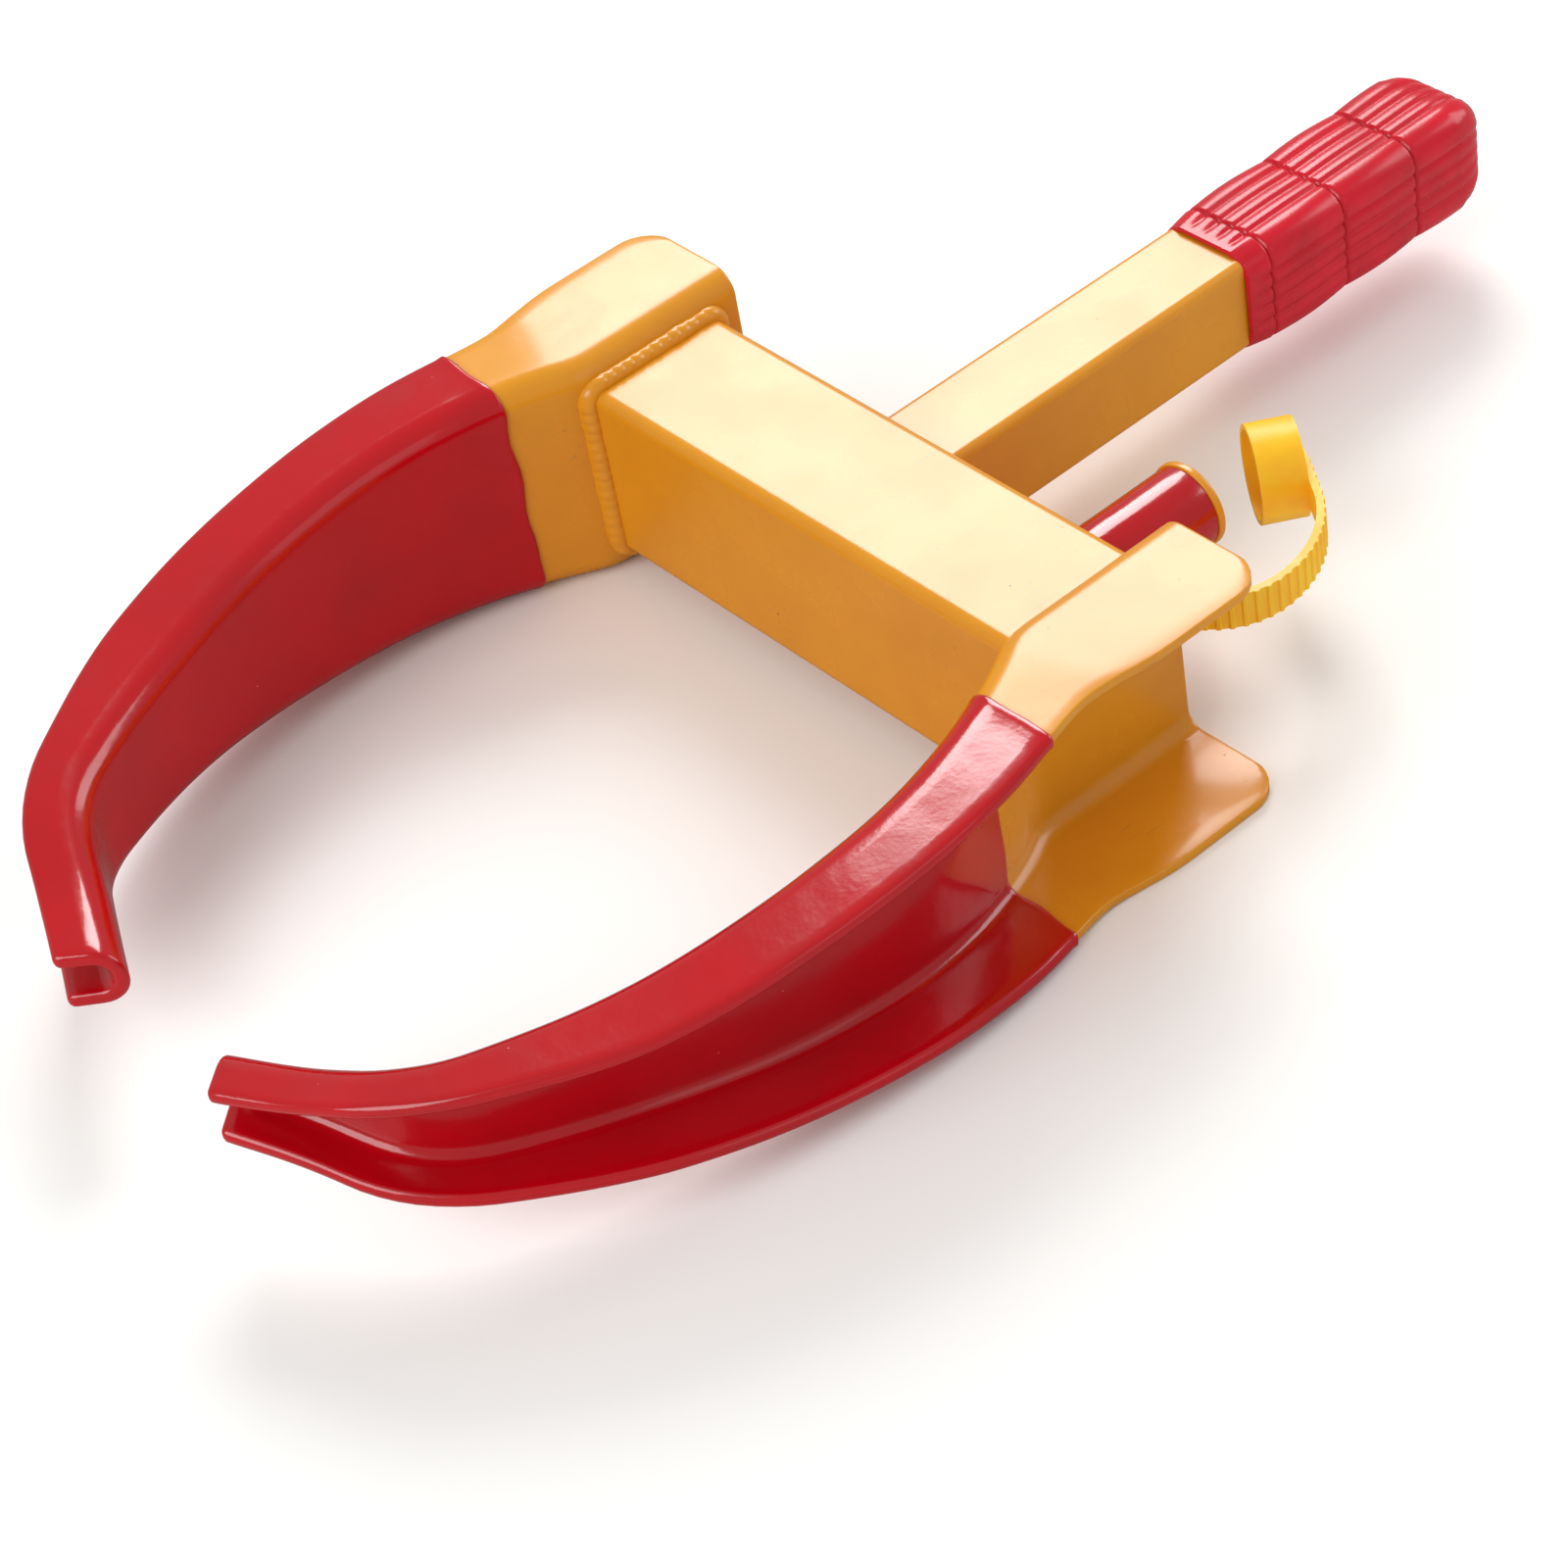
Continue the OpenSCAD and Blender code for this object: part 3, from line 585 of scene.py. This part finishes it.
def web_lean(point):
    """How far the fixed claw's web has leaned away in front of the tube."""
    if point[1] > root_l - claw_runs[0][0]:
        return 0.0
    return along(claw_runs, root_l - point[1], 0.0, root_l, 0.0)[0]


tube_d, tube_h, tube_r = 50.0, 60.0, 4.0
points, outs = rounded_rectangle(tube_d, tube_h, tube_r, 0.45)
bead("claw_weld_bead", [(np.array([-claw_web, tube_d / 2 + p[0], p[1]]), np.array([0, o[0], o[1]]),
                         np.array([1.0, 0, 0])) for p, o in zip(points, outs)],
     width=4.0, pitch=3.6, seed=1.0, material=enamel, body="frame", slot="yellow_paint",
     node="fixed_claw_weld", lean=web_lean)
handle_x, handle_w, handle_r = -10.8, 32.0, 3.0
points, outs = rounded_rectangle(handle_w, handle_w, handle_r, 0.45)
bead("handle_weld_bead", [(np.array([handle_x + p[0], tube_d, p[1]]), np.array([o[0], 0, o[1]]),
                           np.array([0, 1.0, 0])) for p, o in zip(points, outs)],
     width=3.6, pitch=3.2, seed=2.0, material=enamel, body="frame", slot="yellow_paint",
     node="handle_weld")


def bright_steel(name, colours, gloss, grain_mm):
    """Bare or plated steel: cloudy grey, faint drawn or turned lines, soft shine. The lines
    are drawn coarser than real ones, so that they show."""
    material, tree, bsdf, where, _ = drifting(name, 14, 0.3, 0.7, colours, gloss)
    stretch = add_node(tree, "Mapping", {"Scale": (0.05, 1.0, 1.0)}, {"Vector": (where, "Object")})
    lines = add_node(tree, "TexNoise", {"Scale": 1000 / grain_mm, "Detail": 2.0},
                     {"Vector": (stretch, "Vector")})
    bump = add_node(tree, "Bump", {"Strength": 0.2, "Distance": 0.03 * mm},
                    {"Height": (lines, "Fac")})
    tree.links.new(bump.outputs["Normal"], bsdf.inputs["Normal"])
    bsdf.inputs["Metallic"].default_value = 1.0
    return material


zinc = bright_steel("zinc_plate", ("#C4C3BC", "#A9ABAA"), (0.28, 0.42), 0.9)
turned = bright_steel("turned_steel", ("#A8A8A8", "#8B8C8E"), (0.25, 0.4), 0.4)
wire = bright_steel("drawn_spring_wire", ("#8C8D90", "#6E7074"), (0.3, 0.4), 0.3)
tube_wall, slide_gap = 3.0, 0.3
slide_d = tube_d - 2 * (tube_wall + slide_gap)
slide_h = tube_h - 2 * (tube_wall + slide_gap)
slide_r = 2.2
points, outs = rounded_rectangle(slide_d, slide_h, slide_r, 0.5)
bead("slide_weld_bead", [(np.array([claw_web, tube_d / 2 + p[0], p[1]]), np.array([0, o[0], o[1]]),
                          np.array([-1.0, 0, 0])) for p, o in zip(points, outs)],
     width=1.5, pitch=2.4, seed=3.0, material=turned, body="jaw", slot="bare_steel",
     node="slide_weld")
eased("slide_tube", "plated_slide_tube", 0.3, zinc, "jaw", "zinc_steel")

# ---------------------------------------------------------------------------------------
# Handle: square steel tube, welded to the back of the outer tube and painted with it.
# Its edges are rolled, and its sawn end is hidden inside the grip.
eased("handle_tube", "painted_handle_tube", 0.5, enamel, "frame", "yellow_paint")

# ---------------------------------------------------------------------------------------
# Grip: soft vinyl moulded over the handle's end, a rounded square with long flutes, three
# thin ring grooves and a domed end. Its sections swell a little between the rings.
grip_y, grip_l = 177.0, 111.0
grip_half = 19.25
grip_corner = 7.5
grip_swell, grip_slack = 0.45, 0.5     # swelling between the grooves, and room left for it
mouth_taper, mouth_l = 1.2, 9.0
mouth_half = 16.3      # the mouth hugs the handle tube
dome_l = 15.0
dome_round = 0.86      # at 1 the dome would run out to a point
groove_pitch = 32.0
ring_grooves = [10.0 + groove_pitch * i for i in range(3)]
groove_depth, groove_half = 0.9, 0.55
flute_places = (-8.6, -2.9, 2.9, 8.6)
flute_depth, flute_half = 0.75, 1.1


def grip_vinyl():
    """Moulded soft vinyl: satin red with a fine stipple, paler where it catches light."""
    material, tree, bsdf, where, _ = drifting("moulded_grip_vinyl", 12, 0.3, 0.7,
                                              ("#D2142B", "#BE0C20"), (0.2, 0.3))
    stipple = add_node(tree, "TexNoise", {"Scale": 1000 / 0.9, "Detail": 2.0},
                       {"Vector": (where, "Object")})
    bump = add_node(tree, "Bump", {"Strength": 0.35, "Distance": 0.06 * mm},
                    {"Height": (stipple, "Fac")})
    tree.links.new(bump.outputs["Normal"], bsdf.inputs["Normal"])
    bsdf.inputs["IOR"].default_value = 1.5
    return material


def grip_outline(y):
    """Points of the grip's section at y mm from its mouth."""
    flat = grip_half - grip_corner
    outline = []
    starts = [g for g in ring_grooves if g <= y]
    since = y - (starts[-1] if starts else ring_grooves[0] - groove_pitch)
    swell = 0.0
    if y < grip_l - dome_l:
        swell = grip_swell * math.sin(math.pi * min(1.0, since / groove_pitch))
    nick = groove_depth * max(math.exp(-((y - g) / groove_half) ** 2) for g in ring_grooves)
    dome = math.sqrt(1 - dome_round * (max(0.0, y - (grip_l - dome_l)) / dome_l) ** 2)
    mouth = mouth_taper * max(0.0, 1 - y / mouth_l)
    for side in range(4):
        out = np.array([math.cos(math.pi / 2 * side), math.sin(math.pi / 2 * side)])
        run = np.array([-out[1], out[0]])
        for u in np.linspace(-flat, flat, 37):
            flute = sum(math.exp(-((u - f) / flute_half) ** 2) for f in flute_places)
            depth = flute_depth * flute * min(1.0, max(0.0, (y - 2.0) / 3.0))
            r = grip_half - grip_slack + swell - mouth - depth - nick
            outline.append((out * r + run * u * (r / grip_half)) * dome)
        for a in np.radians(np.linspace(0, 90, 9)[1:-1]):
            r = grip_corner - grip_slack + swell - mouth - nick
            spot = (out + run) * flat * ((grip_half - grip_slack + swell - mouth) / grip_half)
            outline.append((spot + r * (out * math.cos(a) + run * math.sin(a))) * dome)
    return np.array(outline)


# ring stations: close together at the mouth, in the grooves and over the dome
grip_stops = [0.0, 0.4, 1.2]
beside = 1.8           # the plain stations keep this far from a groove's middle
for low, high in zip([2.0] + [g + beside for g in ring_grooves],
                     [g - beside for g in ring_grooves] + [grip_l - dome_l - 1.0]):
    grip_stops += list(np.linspace(low, high, max(4, round((high - low) / 2.2))))
for g in ring_grooves:
    grip_stops += [g + d for d in (-1.2, -0.75, -0.4, 0.0, 0.4, 0.75, 1.2)]
grip_stops += [grip_l - dome_l + dome_l * math.sin(math.radians(a)) for a in range(6, 91, 7)]
rings = []
for y in sorted(grip_stops):
    lip = 0.6 if y == 0 else 0.0
    rings.append(np.array([(handle_x + p[0] * (1 - lip / grip_half), grip_y + y,
                            p[1] * (1 - lip / grip_half)) for p in grip_outline(y)]))
# the mouth turns in and closes round the handle tube
inside = grip_outline(0.0) * (mouth_half / (grip_half - grip_slack - mouth_taper))
rings.insert(0, np.array([(handle_x + p[0], grip_y, p[1]) for p in inside]))
rings.insert(0, np.array([(handle_x + p[0], grip_y + 3.0, p[1]) for p in inside]))
finish_piece(loft("moulded_grip", rings), grip_vinyl(), "frame", "red_grip", "handle_grip")

# ---------------------------------------------------------------------------------------
# Lock housing: a turned steel sleeve welded to the back of the tube, with a painted fillet
# at its foot, a red vinyl sleeve over it and a yellow collar left bare at the mouth.
lock_x = 58.0
housing_r, sleeve_r, collar_r = 12.4, 13.0, 13.6
housing_end = 100.0    # mouth of the housing
collar_y = housing_end - 2.5
sleeve_y = 53.2        # the sleeve starts just inside the weld's edge
# the shrunk sleeve's faint waves, as (y, how far it stands out)
sleeve_waves = [(60.0, 0.0), (66.0, 0.05), (75.0, 0.0), (84.0, 0.02), (92.0, 0.0)]


def turned_piece(name, profile, material, body, slot, *nodes):
    """Solid of revolution about the lock's axis, from (radius, y) points in mm."""
    rings = []
    for a in np.linspace(0, 2 * math.pi, 96, endpoint=False):
        rings.append(np.array([(lock_x + r * math.cos(a), y, r * math.sin(a))
                               for r, y in profile]))
    return finish_piece(loft(name, rings, closed=True), material, body, slot, *nodes)


def eased_rim(r, y, radius, turn_in, steps=4):
    """Quarter round between a face at y and a wall at r. turn_in is -1 or +1 for the side
    the wall lies on, in y."""
    return [(r - radius + radius * math.cos(a), y + turn_in * (radius - radius * math.sin(a)))
            for a in np.radians(np.linspace(0, 90, steps + 1))]


points = [np.array([math.cos(a), math.sin(a)]) for a in np.linspace(0, 2 * math.pi, 200)[:-1]]
bead("housing_weld_bead", [(np.array([lock_x + housing_r * p[0], tube_d, housing_r * p[1]]),
                            np.array([p[0], 0, p[1]]), np.array([0, 1.0, 0])) for p in points],
     width=3.5, pitch=3.9, seed=4.0, material=enamel, body="frame", slot="yellow_paint",
     node="housing_weld")
eased("lock_housing", "steel_lock_housing", 0.25, turned, "frame", "bare_steel")
gloss_red = dipped_vinyl("shrunk_red_sleeve")
turned_piece("red_housing_sleeve",
             [(housing_r + 0.01, sleeve_y)] + eased_rim(sleeve_r, sleeve_y, 0.4, 1)[::-1]
             + [(sleeve_r + wave, y) for y, wave in sleeve_waves]
             + eased_rim(sleeve_r, collar_y, 0.35, -1) + [(housing_r + 0.01, collar_y)],
             gloss_red, "frame", "red_pvc", "housing_sleeve")
turned_piece("painted_collar",
             [(housing_r + 0.01, collar_y)] + eased_rim(collar_r, collar_y, 0.5, 1)[::-1]
             + eased_rim(collar_r, housing_end, 0.8, -1, 6) + [(housing_r + 0.01, housing_end)],
             enamel, "frame", "yellow_paint", "housing_collar")

# ---------------------------------------------------------------------------------------
# Lock works: steel stop ring, spring, bolt and retaining pin, all turned or drawn steel,
# mostly out of sight inside the housing.
for node, piece, ease, body, slot in (
        ("bolt_ring", "stop_ring", 0.2, "frame", "bare_steel"),
        ("locking_bolt", "turned_bolt", 0.4, "plug", "bare_steel")):
    eased(node, piece, ease, turned, body, slot)
for node, material in (("retaining_pin", turned), ("tumbler_pins", turned),
                       ("tumbler_springs", wire)):
    part = frame["nodes"][node]
    part.data.materials.clear()
    part.data.materials.append(material)
spring = frame["nodes"]["bolt_spring"].copy()
spring.data = spring.data.copy()
spring.name = "coil_spring"
spring.parent = None
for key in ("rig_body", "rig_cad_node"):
    del spring[key]
finish_piece(spring, wire, "lock", "spring_steel", "bolt_spring")
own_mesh(spring)

# ---------------------------------------------------------------------------------------
# Lock cylinder: chromed brass barrel with a fine turned face, a pressed face disc with the
# round keyway and its notch, and the plug with its ring of pins round a centre pin.
turned_pitch = 0.5     # mm between the turned rings, coarser than real ones so that they show


def chrome_plate(name, colours, gloss):
    """Chrome over turned brass: bright, with fine rings left round the axis."""
    material, tree, bsdf, where, _ = drifting(name, 6, 0.3, 0.7, colours, gloss)
    axis = add_node(tree, "Mapping", {"Location": (-lock_x * mm, 0, 0), "Scale": (1, 0, 1)},
                    {"Vector": (where, "Object")})
    rings = add_node(tree, "TexWave", {"wave_type": "RINGS", "rings_direction": "SPHERICAL",
                                       "Scale": 1000 / turned_pitch / 20, "Distortion": 1.5},
                     {"Vector": (axis, "Vector")})
    bump = add_node(tree, "Bump", {"Strength": 0.12, "Distance": 0.02 * mm},
                    {"Height": (rings, "Fac")})
    tree.links.new(bump.outputs["Normal"], bsdf.inputs["Normal"])
    bsdf.inputs["Metallic"].default_value = 1.0
    return material


chrome = chrome_plate("chrome_plate", ("#D6D8DD", "#C2C5CB"), (0.1, 0.2))
satin = chrome_plate("satin_nickel", ("#B9BBC3", "#A6A9B2"), (0.26, 0.36))
eased("lock_body", "chromed_barrel", 0.3, chrome, "lock", "chrome")
eased("face_disc", "pressed_face_disc", 0.25, satin, "lock", "chrome")
eased("plug", "turned_plug", 0.2, satin, "plug", "chrome")
eased("center_pin", "bright_center_pin", 0.15, chrome, "plug", "chrome")

# ---------------------------------------------------------------------------------------
# Dust cap: soft vinyl moulding in one piece. A ring grips the housing, a ribbed strap comes
# round from it, and a cup at its end presses over the collar.


def soft_vinyl():
    """Soft plasticised vinyl: warm yellow that lets some light through, satin, faintly
    mottled."""
    material, tree, bsdf, where, _ = drifting("soft_yellow_vinyl", 10, 0.3, 0.7,
                                              ("#FFCB20", "#FFBC12"), (0.34, 0.46))
    skin = add_node(tree, "TexNoise", {"Scale": 1000 / 1.2, "Detail": 1.0},
                    {"Vector": (where, "Object")})
    bump = add_node(tree, "Bump", {"Strength": 0.2, "Distance": 0.05 * mm},
                    {"Height": (skin, "Fac")})
    tree.links.new(bump.outputs["Normal"], bsdf.inputs["Normal"])
    bsdf.inputs["Subsurface Weight"].default_value = 0.35
    bsdf.inputs["Subsurface Radius"].default_value = (1.0, 0.6, 0.1)
    bsdf.inputs["Subsurface Scale"].default_value = 0.002
    bsdf.inputs["IOR"].default_value = 1.5
    return material


eased("dust_cap", "soft_dust_cap", 0.35, soft_vinyl(), "cap", "yellow_pvc")
